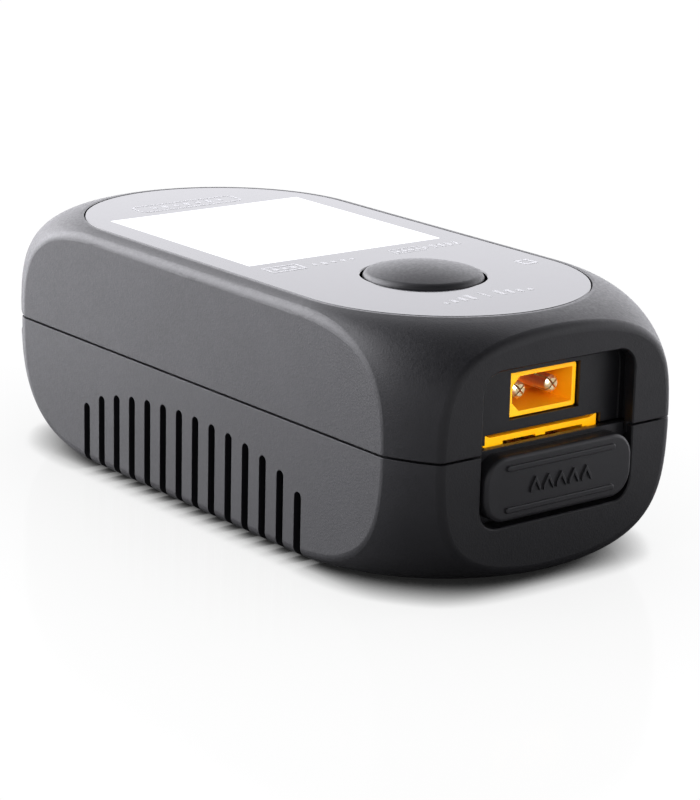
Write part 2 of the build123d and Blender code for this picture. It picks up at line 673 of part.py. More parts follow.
def make_encoder_clip():
    """A bent steel strap over the encoder body, with two legs soldered into the control board."""
    half = ENCODER_SIDE / 2
    top, wide = ENCODER_TOP + CLIP_THICK, half + CLIP_THICK
    strap = block(-wide, wide, -CLIP_HALF, CLIP_HALF, ENCODER_TOP, top)
    strap -= peg(BUSHING_RADIUS + 0.1, 0, 0, 0, TOP_Z)
    for side in (-1, 1):
        x0, x1 = sorted((side * half, side * wide))
        strap += block(x0, x1, -CLIP_HALF, CLIP_HALF, CONTROL_TOP, top)
        strap += block(x0, x1, -CLIP_LEG, CLIP_LEG, CONTROL_Z - SOLDER_TAIL, CONTROL_TOP)
    return Pos(KNOB_X, 0, 0) * strap


# ================================================================ connectors
def end_profile(sketch, x0, x1, z):
    """Extrudes a sketch, drawn with Y to the right and Z up, from x0 to x1 at height z."""
    return extrude(Plane(origin=(x0, 0, z), x_dir=(0, 1, 0), z_dir=(1, 0, 0)) * sketch, x1 - x0)


def cavity_outline():
    """Inside outline of the power connector, with two cut corners on its -Y side."""
    y, z, cut = XT_SIZE[0] / 2 - XT_WALL, XT_SIZE[1] / 2 - XT_WALL, XT_CHAMFER
    points = [(y, -z), (y, z), (cut - y, z), (-y, z - cut), (-y, cut - z), (cut - y, -z)]
    return make_face(Polyline(*points, close=True))


def make_output_housing():
    back, floor = PORT_X - XT_LENGTH, PORT_X - XT_CAVITY
    body = end_profile(RectangleRounded(*XT_SIZE, XT_ROUND), back, PORT_X, XT_Z)
    body -= end_profile(cavity_outline(), floor, PORT_X + 1, XT_Z)
    for side in (-1, 1):
        body -= Pos(0, side * PIN_PITCH / 2, 0) * pin_shoulder(0.02, back - 1, floor + 1)
    return body


def pin_shoulder(clearance, x0, x1):
    """The hexagonal part of a power pin that the housing grips."""
    return end_profile(RegularPolygon(PIN_SHOULDER / 2 + clearance, 6), x0, x1, XT_Z)


def make_output_pins():
    """Split round pins whose tails turn down through the control board."""
    back, floor = PORT_X - XT_LENGTH, PORT_X - XT_CAVITY
    tip, bend = floor + PIN_LENGTH, back - PIN_TAIL_BACK
    pins = []
    for side in (-1, 1):
        y = side * PIN_PITCH / 2
        pin = rod(PIN_RADIUS, (floor, y, XT_Z), (tip, y, XT_Z))
        pin = chamfer(pin.edges().group_by(Axis.X)[-1], PIN_TIP_CHAMFER)
        for turn in (PIN_SLIT_TURN, PIN_SLIT_TURN + 90):
            slit = Pos(tip, y, XT_Z) * Rot(turn, 0, 0) * Box(2 * PIN_SLIT[1], PIN_SLIT[0], 3 * PIN_RADIUS)
            pin -= slit
        pin += Pos(0, y, 0) * pin_shoulder(0, back, floor)
        pin += rod(PIN_TAIL, (bend, y, XT_Z), (back, y, XT_Z))
        pin += peg(PIN_TAIL, bend, y, CONTROL_Z - SOLDER_TAIL, XT_Z) + Pos(bend, y, XT_Z) * Sphere(PIN_TAIL)
        pins.append(pin)
    return group(pins)


def make_input_housing():
    return other_end(make_output_housing())


def make_input_pins():
    return other_end(make_output_pins())


def socket_pin_rows():
    return [(i - (SOCKET_PINS - 1) / 2) * SOCKET_PITCH for i in range(SOCKET_PINS)]


def make_balance_socket():
    """A shrouded side-entry header with small horns on its top corners and keys inside its top wall."""
    half = SOCKET_SIZE[0] / 2
    body = block(SOCKET_BACK, PORT_X, -half, half, POWER_TOP, SOCKET_TOP)
    inner = half - SOCKET_END
    front, floor = PORT_X + 1, SOCKET_BACK + SOCKET_BACK_WALL
    body -= block(floor, front, -inner, inner, POWER_TOP + SOCKET_WALL, SOCKET_TOP - SOCKET_WALL)
    for middle, width, drop in SOCKET_KEYS:
        y0, y1 = max(middle - width / 2, -inner - 0.1), min(middle + width / 2, inner + 0.1)
        ceiling = SOCKET_TOP - SOCKET_WALL
        body += block(floor, PORT_X, y0, y1, ceiling - drop, ceiling + 0.1)
    for side in (-1, 1):
        horn = Polyline((0, 0), (SOCKET_BUMP[0], 0), (SOCKET_BUMP[0], SOCKET_BUMP[1]), close=True)
        horn = end_profile(make_face(horn), BOARD_END + SOCKET_BUMP_CLEAR, PORT_X, SOCKET_TOP)
        horn = Pos(0, half - SOCKET_BUMP[0], 0) * horn
        body += horn if side > 0 else mirror(horn, Plane.XZ)
        slot = side * SOCKET_SIZE[0] / 4
        y0, y1 = slot - SOCKET_SLOT[0] / 2, slot + SOCKET_SLOT[0] / 2
        body -= block(PORT_X - SOCKET_SLOT[1], front, y0, y1, POWER_TOP - 1, POWER_TOP + 1)
    hole = SOCKET_PIN / 2 + 0.02
    for y in socket_pin_rows():
        z0, z1 = SOCKET_MID_Z - hole, SOCKET_MID_Z + hole
        body -= block(SOCKET_BACK - 1, floor + 1, y - hole, y + hole, z0, z1)
    return body


def make_balance_pins():
    half = SOCKET_PIN / 2
    pins = []
    for y in socket_pin_rows():
        y0, y1 = y - half, y + half
        tip = PORT_X - SOCKET_PIN_BACK
        pin = block(SOCKET_TAIL_X - half, tip, y0, y1, SOCKET_MID_Z - half, SOCKET_MID_Z + half)
        pin = chamfer(pin.edges().group_by(Axis.X)[-1], 0.15)
        pin += block(SOCKET_TAIL_X - half, SOCKET_TAIL_X + half, y0, y1, POWER_Z - SOLDER_TAIL, SOCKET_MID_Z)
        pins.append(pin)
    return group(pins)


def make_usb_shell():
    """The steel can of the data connector."""
    inner = (USB_SIZE[0] - 2 * USB_SKIN, USB_SIZE[1] - 2 * USB_SKIN)
    can = end_plate(USB_SIZE, USB_CORNER, PORT_X - USB_LENGTH, PORT_X, USB_Z)
    can -= end_plate(inner, USB_CORNER - USB_SKIN, PORT_X - USB_LENGTH + USB_SKIN, PORT_X + 1, USB_Z)
    return other_end(can)


def make_usb_tongue():
    """The insulator and contact tongue inside the can."""
    inner = (USB_SIZE[0] - 2 * USB_SKIN - 0.1, USB_SIZE[1] - 2 * USB_SKIN - 0.1)
    back = PORT_X - USB_LENGTH + USB_SKIN + 0.05
    base = end_plate(inner, USB_CORNER - USB_SKIN - 0.1, back, back + USB_TONGUE_BASE, USB_Z)
    base += end_plate(USB_TONGUE, 0.2, back, PORT_X - 0.8, USB_Z)
    return other_end(base)


def make_output_cover():
    """A finger pad on a plate that runs in the grooves of a recess, with ridges and arrowheads on the pad."""
    z = SEAM_Z - COVER_DROP
    plate_middle, plate_height = (PLATE_Z[0] + PLATE_Z[1]) / 2, PLATE_Z[1] - PLATE_Z[0]
    cover = end_plate((PLATE_WIDTH, plate_height), 0.6, PLATE_X, PLATE_X + PLATE_THICK, plate_middle)
    face = HALF_L + PAD_PROUD
    pad = end_plate(PAD_SIZE, PAD_CORNER, PLATE_X + PLATE_THICK - 0.2, face, z)
    cover += fillet(pad.edges().group_by(Axis.X)[-1], PAD_ROUND)
    for side in (-1, 1):
        ridge = end_plate(RIDGE_SIZE, 0.34, face - 0.5, face + RIDGE_PROUD, z + side * RIDGE_OFFSET)
        cover += fillet(ridge.edges().group_by(Axis.X)[-1], 0.15)
    for i in range(MARK_COUNT):
        y = (i - (MARK_COUNT - 1) / 2) * MARK_PITCH
        cover += Pos(0, y, 0) * end_profile(arrowhead(), face - 0.3, face + MARK_PROUD, z)
    return cover


def make_input_cover():
    return other_end(make_output_cover())


def arrowhead():
    """A raised arrowhead that shows which way a cover slides."""
    wide, low, high, stroke = 0.72, -0.9, 0.95, 0.6
    points = [(-wide, low), (0, high - stroke), (wide, low)]
    points += [(wide, low + stroke), (0, high), (-wide, low + stroke)]
    return make_face(Polyline(*points, close=True))


# ================================================================ boards
def header_pin_spots():
    """Where the upright pins between the boards stand: (x, y, foot height, head height)."""
    spots = []
    count, first, rows = WIDE_HEADER_PINS
    for i in range(count):
        for y in rows:
            spots.append((first + i * HEADER_PITCH, y, POWER_Z - SOLDER_TAIL, CONTROL_TOP + SOLDER_TAIL))
    count, x = NARROW_HEADER_PINS
    for i in range(count):
        y = (i - (count - 1) / 2) * HEADER_PITCH
        spots.append((x, y, USB_BOARD_Z - SOLDER_TAIL, CONTROL_TOP - 0.1))
    return spots


def make_header_housings():
    wide = block(*WIDE_HEADER, POWER_TOP, CONTROL_Z)
    narrow = block(*NARROW_HEADER, USB_TOP, CONTROL_Z)
    housings = []
    hole = HEADER_PIN / 2 + 0.02
    for body in (wide, narrow):
        for x, y, foot, head in header_pin_spots():
            body -= block(x - hole, x + hole, y - hole, y + hole, 0, TOP_Z)
        housings.append(body)
    return group(housings)


def make_header_pins():
    half = HEADER_PIN / 2
    return group([block(x - half, x + half, y - half, y + half, foot, head)
                  for x, y, foot, head in header_pin_spots()])


def board_blank(x0, x1, y, corner, z0, z1):
    blank = block(x0, x1, -y, y, z0, z1)
    return fillet(blank.edges().filter_by(Axis.Z), corner)


def make_control_board():
    board = board_blank(-BOARD_END, BOARD_END, BOARD_HALF, 6.0, CONTROL_Z, CONTROL_TOP)
    for x, y in corners(POST_X, POST_Y):
        board -= peg(SCREW_RADIUS + 0.15, x, y, 0, TOP_Z)
    bend = PORT_X - XT_LENGTH - PIN_TAIL_BACK
    for x, y in corners(bend, PIN_PITCH / 2):
        board -= peg(PIN_TAIL + HOLE_SLACK, x, y, 0, TOP_Z)
    for x, y, foot, head in header_pin_spots():
        board -= peg(HEADER_PIN * 0.75 + HOLE_SLACK, x, y, 0, TOP_Z)
    for side in (-1, 1):
        leg = KNOB_X + side * (ENCODER_SIDE / 2 + 0.2)
        board -= block(leg - 0.35, leg + 0.35, -1.2, 1.2, 0, TOP_Z)
    return board


def make_power_board():
    board = board_blank(2.0, BOARD_END, BOARD_HALF, 4.0, POWER_Z, POWER_TOP)
    for y in (-POST_Y, POST_Y):
        board -= peg(POST_RADIUS + 0.2, POST_X, y, 0, TOP_Z)
    for x, y in POWER_BOSSES:
        board -= peg(SMALL_SCREW + 0.15, x, y, 0, TOP_Z)
    for y in socket_pin_rows():
        board -= peg(SOCKET_PIN * 0.75 + HOLE_SLACK, SOCKET_TAIL_X, y, 0, TOP_Z)
    for x, y, foot, head in header_pin_spots():
        board -= peg(HEADER_PIN * 0.75 + HOLE_SLACK, x, y, 0, TOP_Z)
    return board


def make_usb_board():
    board = board_blank(-BOARD_END, -28.6, 9.0, 1.0, USB_BOARD_Z, USB_TOP)
    for x, y in USB_BOSSES:
        board -= peg(SMALL_SCREW + 0.15, x, y, 0, TOP_Z)
    for x, y, foot, head in header_pin_spots():
        board -= peg(HEADER_PIN * 0.75 + HOLE_SLACK, x, y, 0, TOP_Z)
    return board


def chip(x, y, z, side_x, side_y, height):
    """A moulded package with a sloped top edge and flat leads along two sides."""
    hx, hy = side_x / 2, side_y / 2
    body = block(x - hx, x + hx, y - hy, y + hy, z + CHIP_STANDOFF, z + height)
    body = chamfer(body.edges().group_by(Axis.Z)[-1], 0.2)
    wide, reach, thick = LEAD_SIZE
    count = int(side_x / LEAD_PITCH)
    for i in range(count):
        lead = x + (i - (count - 1) / 2) * LEAD_PITCH
        body += block(lead - wide / 2, lead + wide / 2, y - hy - reach, y + hy + reach, z, z + thick)
    return body


def make_control_chips():
    return group([chip(x, y, CONTROL_TOP, *size) for x, y, *size in CONTROL_CHIPS])


def make_mosfets():
    return group([chip(x, y, POWER_TOP, *MOSFET_SIZE) for x, y in MOSFET_SPOTS])


def make_capacitors():
    """Surface-mount electrolytic cans, each with a rolled groove."""
    low, high, neck = CAN_GROOVE
    cans = []
    for y in CAN_ROWS:
        can = peg(CAN_RADIUS, CAN_X, y, POWER_TOP, POWER_TOP + CAN_HEIGHT)
        can = fillet(can.edges().group_by(Axis.Z)[-1], 0.4)
        can -= peg(CAN_RADIUS + 1, CAN_X, y, POWER_TOP + low, POWER_TOP + high) - peg(neck, CAN_X, y, 0, TOP_Z)
        cans.append(can)
    return group(cans)


def make_inductor():
    """A moulded power choke: square with rounded corners, a turret on its top and two side pads."""
    (x, y), (a, b) = CHOKE_MIDDLE, CHOKE_HALF
    top = POWER_TOP + CHOKE_HEIGHT
    core = block(x - a, x + a, y - b, y + b, POWER_TOP, top)
    core = fillet(core.edges().filter_by(Axis.Z), CHOKE_CORNER)
    core = fillet(core.edges().group_by(Axis.Z)[-1], 0.4)
    return core + peg(CHOKE_TURRET[0], x, y, top - 0.6, POWER_TOP + CHOKE_TURRET[1])


def make_shunt():
    """A folded current-sense strap on two feet."""
    (x0, x1), (y0, y1) = SHUNT_X, SHUNT_Y
    strap = block(x0, x1, y0, y1, POWER_TOP, POWER_TOP + SHUNT_HEIGHT)
    return strap - block(x0 + SHUNT_FOOT, x1 - SHUNT_FOOT, y0 - 1, y1 + 1, POWER_TOP, POWER_TOP + SHUNT_RISE)


def make_balance_resistors():
    a, b, height = RESISTOR_SIZE[0] / 2, RESISTOR_SIZE[1] / 2, RESISTOR_SIZE[2]
    return group([block(x - a, x + a, y - b, y + b, POWER_TOP, POWER_TOP + height)
                  for x, y in RESISTOR_SPOTS])


def make_buzzer():
    body = peg(BUZZER_RADIUS, *BUZZER_AT, CONTROL_TOP, CONTROL_TOP + BUZZER_HEIGHT)
    body = fillet(body.edges().group_by(Axis.Z)[-1], 0.4)
    return body - peg(BUZZER_HOLE[0], *BUZZER_AT, CONTROL_TOP + BUZZER_HOLE[1], TOP_Z)


# ================================================================ cooling
def make_heatsink():
    x0, x1, y = SINK
    top = POWER_Z - PAD_THICK
    sink = block(x0, x1, -y, y, SINK_BASE_Z, top)
    pitch = (2 * y - SINK_FIN) / (SINK_FINS - 1)
    for i in range(SINK_FINS):
        fin = (i - (SINK_FINS - 1) / 2) * pitch
        sink += block(x0, x1, fin - SINK_FIN / 2, fin + SINK_FIN / 2, FLOOR_Z + 0.7, SINK_BASE_Z)
    return sink


def make_thermal_pad():
    x0, x1, y = SINK
    return block(x0 + 0.5, x1 - 0.5, -y + 0.5, y - 0.5, POWER_Z - PAD_THICK, POWER_Z)


def make_fan_frame():
    half = FAN_SIZE / 2
    frame = block(-half, half, -half, half, FAN_Z0, FAN_Z1)
    frame = fillet(frame.edges().filter_by(Axis.Z), 2.0)
    frame -= peg(FAN_BORE, 0, 0, 0, TOP_Z)
    radius, base_z = FAN_BASE[0], FAN_Z0 + FAN_BASE[1]
    frame += peg(radius, 0, 0, FAN_Z0, base_z)
    for i in range(4):
        arm = block(radius - 1, FAN_BORE + 1, -FAN_ARM / 2, FAN_ARM / 2, FAN_Z0, base_z)
        frame += Rot(0, 0, 45 + 90 * i) * arm
    frame += peg(BEARING_RADIUS, 0, 0, FAN_Z0, FAN_Z0 + BEARING_HEIGHT)
    frame -= peg(SPINDLE_RADIUS + RUNNING, 0, 0, FAN_Z0 + 0.5, TOP_Z)
    for x, y in corners(FAN_PITCH / 2, FAN_PITCH / 2):
        frame -= peg(SMALL_SCREW + 0.15, x, y, 0, TOP_Z)
    return Pos(FAN_X, 0, 0) * frame


def make_fan_stator():
    """Four-pole winding stack around the bearing tube."""
    low, high = FAN_Z0 + POLE_LOW, FAN_Z0 + POLE_HIGH
    stack = peg(STATOR_CORE, 0, 0, low - 0.4, high + 0.4)
    for i in range(4):
        pole = block(2.0, STATOR_RADIUS - 0.3, -POLE_WIDTH / 2, POLE_WIDTH / 2, low, high)
        x0, x1 = STATOR_RADIUS - 0.9, STATOR_RADIUS - 0.2
        pole += block(x0, x1, -TIP_WIDTH / 2, TIP_WIDTH / 2, low - 0.2, high + 0.2)
        stack += Rot(0, 0, 90 * i) * pole
    stack &= peg(STATOR_RADIUS, 0, 0, 0, TOP_Z)
    return Pos(FAN_X, 0, 0) * (stack - peg(BEARING_RADIUS + 0.02, 0, 0, 0, TOP_Z))


def make_fan_rotor():
    """Cup-shaped hub with pitched blades and its pin in the bearing tube."""
    z0, z1 = FAN_Z0 + 1.2, FAN_Z1 - 0.4
    hub = peg(HUB_RADIUS, 0, 0, z0, z1)
    hub = fillet(hub.edges().group_by(Axis.Z)[-1], 0.5)
    hub -= peg(HUB_RADIUS - HUB_SKIN, 0, 0, 0, z1 - HUB_SKIN)
    hub += peg(SPINDLE_RADIUS, 0, 0, FAN_Z0 + 0.7, z1 - HUB_SKIN / 2)
    sweep_zone = peg(FAN_BORE - BLADE_GAP, 0, 0, z0 + 0.1, z1 - 0.2) - peg(HUB_RADIUS - 0.4, 0, 0, 0, TOP_Z)
    for i in range(FAN_BLADES):
        blade = Pos(9.0, 0, (z0 + z1) / 2) * Rot(BLADE_PITCH, 0, 0) * Box(*BLADE_SIZE)
        hub += (Rot(0, 0, 360 / FAN_BLADES * i) * blade) & sweep_zone
    return Pos(FAN_X, 0, 0) * hub


def make_fan_cable():
    """Two wires from the fan frame up into a plug under the control board."""
    edge = FAN_X + FAN_SIZE / 2
    plug_z = CONTROL_Z - PLUG_HEIGHT
    cable = block(*PLUG, plug_z, CONTROL_Z)
    for y in WIRE_ROWS:
        path = Spline((edge + 0.05, y, 7.0), (edge + 0.9, y, 9.0), (edge + 0.6, y, plug_z),
                      tangents=[(1, 0, 0), (0, 0, 1)])
        cable += sweep(Plane(origin=path @ 0, z_dir=path % 0) * Circle(WIRE_RADIUS), path=path)
    return cable


# ================================================================ every piece
PIECES = {
    "top_shell": make_top_shell,
    "bottom_shell": make_bottom_shell,
    "rubber_feet": make_rubber_feet,
    "shell_screws": make_shell_screws,
    "board_screws": make_board_screws,
    "fan_screws": make_fan_screws,
    "front_panel": make_front_panel,
    "panel_adhesive": make_panel_adhesive,
    "lcd_tray": make_lcd_tray,
    "lcd_backlight": make_lcd_backlight,
    "lcd_glass": make_lcd_glass,
    "lcd_flex": make_lcd_flex,
    "flex_connector": make_flex_connector,
    "knob": make_knob,
    "encoder_shaft": make_encoder_shaft,
    "encoder_body": make_encoder_body,
    "encoder_clip": make_encoder_clip,
    "switch_plunger": make_switch_plunger,
    "output_housing": make_output_housing,
    "output_pins": make_output_pins,
    "input_housing": make_input_housing,
    "input_pins": make_input_pins,
    "balance_socket": make_balance_socket,
    "balance_pins": make_balance_pins,
    "output_cover": make_output_cover,
    "input_cover": make_input_cover,
    "usb_shell": make_usb_shell,
    "usb_tongue": make_usb_tongue,
    "header_housings": make_header_housings,
    "header_pins": make_header_pins,
    "control_board": make_control_board,
    "power_board": make_power_board,
    "usb_board": make_usb_board,
    "control_chips": make_control_chips,
    "buzzer": make_buzzer,
    "mosfets": make_mosfets,
    "capacitors": make_capacitors,
    "inductor": make_inductor,
    "shunt": make_shunt,
    "balance_resistors": make_balance_resistors,
    "heatsink": make_heatsink,
    "thermal_pad": make_thermal_pad,
    "fan_frame": make_fan_frame,
    "fan_stator": make_fan_stator,
    "fan_rotor": make_fan_rotor,
    "fan_cable": make_fan_cable,
}


def main():
    os.makedirs("parts", exist_ok=True)
    for name, make in PIECES.items():
        export_step(Pos(0, 0, -TABLE_Z) * make(), f"parts/{name}.step")


main()
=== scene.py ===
"""Looks for the pocket balance charger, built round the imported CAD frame.

Metres, +Z up. +X is the output end, and -Y is the long side that the camera sees.
"""

import math

import bpy
from mathutils import Matrix, Vector
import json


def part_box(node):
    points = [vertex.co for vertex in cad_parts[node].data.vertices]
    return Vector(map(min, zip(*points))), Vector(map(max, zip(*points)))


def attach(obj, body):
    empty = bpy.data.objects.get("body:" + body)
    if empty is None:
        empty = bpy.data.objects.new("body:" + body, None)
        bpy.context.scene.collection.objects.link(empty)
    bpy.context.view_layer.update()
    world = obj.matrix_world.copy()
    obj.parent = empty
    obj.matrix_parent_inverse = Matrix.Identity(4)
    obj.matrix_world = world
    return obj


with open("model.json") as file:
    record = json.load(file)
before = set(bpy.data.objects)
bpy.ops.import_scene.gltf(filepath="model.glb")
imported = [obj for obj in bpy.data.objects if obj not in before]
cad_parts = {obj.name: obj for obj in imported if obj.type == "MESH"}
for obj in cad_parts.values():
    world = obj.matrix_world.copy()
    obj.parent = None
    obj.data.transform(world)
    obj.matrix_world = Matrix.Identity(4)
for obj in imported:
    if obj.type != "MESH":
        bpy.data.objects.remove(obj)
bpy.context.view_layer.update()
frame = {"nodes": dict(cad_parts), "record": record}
NODES = frame["nodes"]
MM = 0.001

# ---------------------------------------------------------------- places taken from the frame
PANEL_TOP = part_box("front_panel")[1].z
CASE_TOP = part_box("top_shell")[1]
PORT_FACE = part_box("output_housing")[1].x
GLASS_LOW, GLASS_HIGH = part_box("lcd_glass")
SCREEN_X = (GLASS_LOW.x + GLASS_HIGH.x) / 2
SCREEN_HALF = (15.2 * MM, 14.9 * MM)

# ---------------------------------------------------------------- camera and light
CAMERA_AT = Vector((0.2582, -0.1996, 0.10365))
CAMERA_AZIMUTH = 51.35
CAMERA_ELEVATION = 15.98
CAMERA_ROLL = 1.46
CAMERA_LENS = 120.5
CAMERA_SHIFT = (-0.0193, 0.0136)

# The room is bright behind the object and dark round the camera, with a window-like glow at the left.
ROOM_BRIGHT = 2.3
ROOM_DARK = 0.55
ROOM_DARK_WAY = Vector((0.6, -0.75, 0.3)).normalized()
ROOM_TURN = (-0.5, 0.22)  # where the room turns from bright to dark, as cosines to that direction
ROOM_TINT = (0.955, 0.95, 1.0, 1.0)
CEILING_TURN = (0.3, 0.85)  # sines of the heights between which the room darkens towards its ceiling
CEILING_DIM = 0.1
GLOW = 6.8
GLOW_WAY = Vector((-0.75, -0.52, 0.41)).normalized()
GLOW_SPREAD = (0.66, 1.0)
# Painted shade in the floor's colour, seen only in reflections: darker towards this way and near the object.
FLOOR_DARK_WAY = Vector((0.78, -0.62, 0)).normalized()
FLOOR_NEAR = (40 * MM, 110 * MM)  # the floor's reflection in the case darkens inside this ring
# Reaches of the floor's painted contact shadow and of its fainter, wider painted shadow.
CONTACT_PAINTED_SHADOW_REACH = 6 * MM
SOFT_PAINTED_SHADOW_REACH = 40 * MM

# ---------------------------------------------------------------- printed marks and screen
INK_THICK = 0.015 * MM


# ================================================================ material helpers
class Nodes:
    """Short calls for building one material's node tree."""

    def __init__(self, name):
        self.material = bpy.data.materials.new(name)
        self.material.use_nodes = True
        self.tree = self.material.node_tree
        self.bsdf = self.tree.nodes["Principled BSDF"]
        self.output = self.tree.nodes["Material Output"]
        self.place = self.add("ShaderNodeTexCoord").outputs["Object"]

    def add(self, kind, **settings):
        node = self.tree.nodes.new(kind)
        for key, value in settings.items():
            setattr(node, key, value)
        return node

    def link(self, source, target):
        if isinstance(source, (int, float, tuple, list)):
            target.default_value = source
        else:
            self.tree.links.new(source, target)

    def noise(self, scale, detail=3.0, rough=0.5, stretch=(1, 1, 1), distort=0.0):
        mapping = self.add("ShaderNodeMapping")
        mapping.inputs["Scale"].default_value = stretch
        self.link(self.place, mapping.inputs["Vector"])
        node = self.add("ShaderNodeTexNoise")
        node.inputs["Scale"].default_value = scale
        node.inputs["Detail"].default_value = detail
        node.inputs["Roughness"].default_value = rough
        node.inputs["Distortion"].default_value = distort
        self.link(mapping.outputs["Vector"], node.inputs["Vector"])
        return node.outputs["Fac"]

    def grain(self, scale):
        node = self.add("ShaderNodeTexVoronoi", feature="F1")
        node.inputs["Scale"].default_value = scale
        self.link(self.place, node.inputs["Vector"])
        return node.outputs["Distance"]

    def remap(self, value, low, high, out_low, out_high):
        node = self.add("ShaderNodeMapRange")
        self.link(value, node.inputs["Value"])
        node.inputs["From Min"].default_value = low
        node.inputs["From Max"].default_value = high
        node.inputs["To Min"].default_value = out_low
        node.inputs["To Max"].default_value = out_high
        return node.outputs["Result"]

    def math(self, operation, a, b=0.0):
        node = self.add("ShaderNodeMath", operation=operation)
        self.link(a, node.inputs[0])
        self.link(b, node.inputs[1])
        return node.outputs[0]

    def mix(self, factor, first, second):
        node = self.add("ShaderNodeMix", data_type="RGBA")
        self.link(factor, node.inputs["Factor"])
        self.link(first, node.inputs["A"])
        self.link(second, node.inputs["B"])
        return node.outputs["Result"]

    def rounded(self, radius):
        """The normal that the surface would have with its edges rounded to the radius."""
        bevel = self.add("ShaderNodeBevel", samples=4)
        bevel.inputs["Radius"].default_value = radius
        return bevel.outputs["Normal"]

    def edges(self, rounded):
        """About 1 beside edges, where the rounded normal leaves the real one, and 0 on flat faces."""
        plain = self.add("ShaderNodeNewGeometry").outputs["Normal"]
        dot = self.add("ShaderNodeVectorMath", operation="DOT_PRODUCT")
        self.link(rounded, dot.inputs[0])
        self.link(plain, dot.inputs[1])
        return self.remap(dot.outputs["Value"], 1.0, 0.82, 0.0, 1.0)

    def bump(self, height, distance, normal=None):
        node = self.add("ShaderNodeBump")
        node.inputs["Distance"].default_value = distance
        self.link(height, node.inputs["Height"])
        if normal is not None:
            self.link(normal, node.inputs["Normal"])
        self.link(node.outputs["Normal"], self.bsdf.inputs["Normal"])

    def split(self, vector):
        node = self.add("ShaderNodeSeparateXYZ")
        self.link(vector, node.inputs[0])
        return node.outputs["X"], node.outputs["Y"], node.outputs["Z"]

    def box(self, x, y, middle, half):
        """1 inside a rectangle of the coordinates x and y, and 0 outside it."""
        reach_x = self.math("ABSOLUTE", self.math("SUBTRACT", x, middle[0]))
        reach_y = self.math("ABSOLUTE", self.math("SUBTRACT", y, middle[1]))
        inside = self.math("LESS_THAN", reach_x, half[0])
        return self.math("MULTIPLY", inside, self.math("LESS_THAN", reach_y, half[1]))

    def set(self, **values):
        for key, value in values.items():
            self.link(value, self.bsdf.inputs[key.replace("_", " ")])


def rgb(red, green, blue):
    return (red, green, blue, 1.0)


def moulded(name, base, light, roughness, grain_scale, grain_depth, wear):
    """Moulded plastic: fine surface grain, slow tone drift, and paler rubbed edges."""
    m = Nodes(name)
    drift = m.remap(m.noise(90, 4), 0.3, 0.7, 0.0, 1.0)
    tone = m.mix(m.math("MULTIPLY", drift, 0.35), base, light)
    rounded = m.rounded(0.1 * MM)
    rub = m.math("MULTIPLY", m.edges(rounded), m.remap(m.noise(700, 3), 0.35, 0.65, 0.0, wear))
    m.set(Base_Color=m.mix(rub, tone, light))
    spread = m.remap(m.noise(2600, 2), 0.3, 0.7, roughness - 0.05, roughness + 0.06)
    m.set(Roughness=spread, IOR=1.5)
    coarse = m.grain(grain_scale)
    fine = m.math("MULTIPLY", m.noise(grain_scale * 2.3, 2), 0.6)
    m.bump(m.math("ADD", coarse, fine), grain_depth * MM, rounded)
    return m.material


def metal(name, base, dark, roughness, stretch, brush):
    """Metal with directional brushing, small tone changes and brighter edges."""
    m = Nodes(name)
    lines = m.noise(brush, 3, 0.6, stretch)
    tone = m.mix(m.remap(lines, 0.35, 0.65, 0.0, 1.0), dark, base)
    rounded = m.rounded(0.1 * MM)
    m.set(Base_Color=m.mix(m.math("MULTIPLY", m.edges(rounded), 0.3), tone, rgb(0.95, 0.93, 0.9)))
    m.set(Metallic=1.0, Roughness=m.remap(lines, 0.3, 0.7, roughness - 0.06, roughness + 0.1))
    m.bump(lines, 0.004 * MM, rounded)
    return m.material


# ================================================================ materials
def amber_material():
    m = Nodes("amber_nylon")
    x, y, z = m.split(m.place)
    drift = m.remap(m.noise(260, 3), 0.3, 0.7, 0.0, 1.0)
    outside = m.mix(drift, rgb(1.0, 0.4, 0.0), rgb(1.0, 0.47, 0.005))
    # Painted shade: behind the port face the amber darkens towards deep red the deeper it lies, standing in
    # for the shade inside the connector's cavity.
    depth = m.remap(m.math("ABSOLUTE", x), PORT_FACE - 6.6 * MM, PORT_FACE - 0.4 * MM, 1.0, 0.35)
    inside = m.math("MULTIPLY", depth, m.math("LESS_THAN", m.math("ABSOLUTE", x), PORT_FACE - 0.01 * MM))
    m.set(Base_Color=m.mix(inside, outside, rgb(0.62, 0.13, 0.0)))
    m.set(Roughness=m.remap(m.noise(3000, 2), 0.3, 0.7, 0.3, 0.42), IOR=1.53)
    m.set(Subsurface_Weight=0.25, Subsurface_Scale=1.2 * MM)
    m.set(Subsurface_Radius=(1.0, 0.45, 0.08))
    m.bump(m.noise(3800, 3), 0.006 * MM, m.rounded(0.08 * MM))
    return m.material


def panel_material():
    """Back-printed acrylic: glossy black with faint hairlines, and the lit picture bonded under it."""
    m = Nodes("panel_gloss")
    hairs = m.noise(900, 4, 0.6, (1, 14, 1), 0.4)
    dust = m.remap(hairs, 0.4, 0.7, 0.0, 0.25)
    m.set(Base_Color=m.mix(dust, rgb(0.006, 0.006, 0.008), rgb(0.02, 0.02, 0.024)))
    m.set(Roughness=m.remap(m.noise(420, 4), 0.35, 0.7, 0.05, 0.1), IOR=1.5)
    m.bump(hairs, 0.0008 * MM, m.rounded(0.08 * MM))
    x, y, z = m.split(m.place)
    m.set(Emission_Color=screen_picture(m, x, y))
    m.set(Emission_Strength=m.box(x, y, (SCREEN_X, 0), SCREEN_HALF))
    return m.material


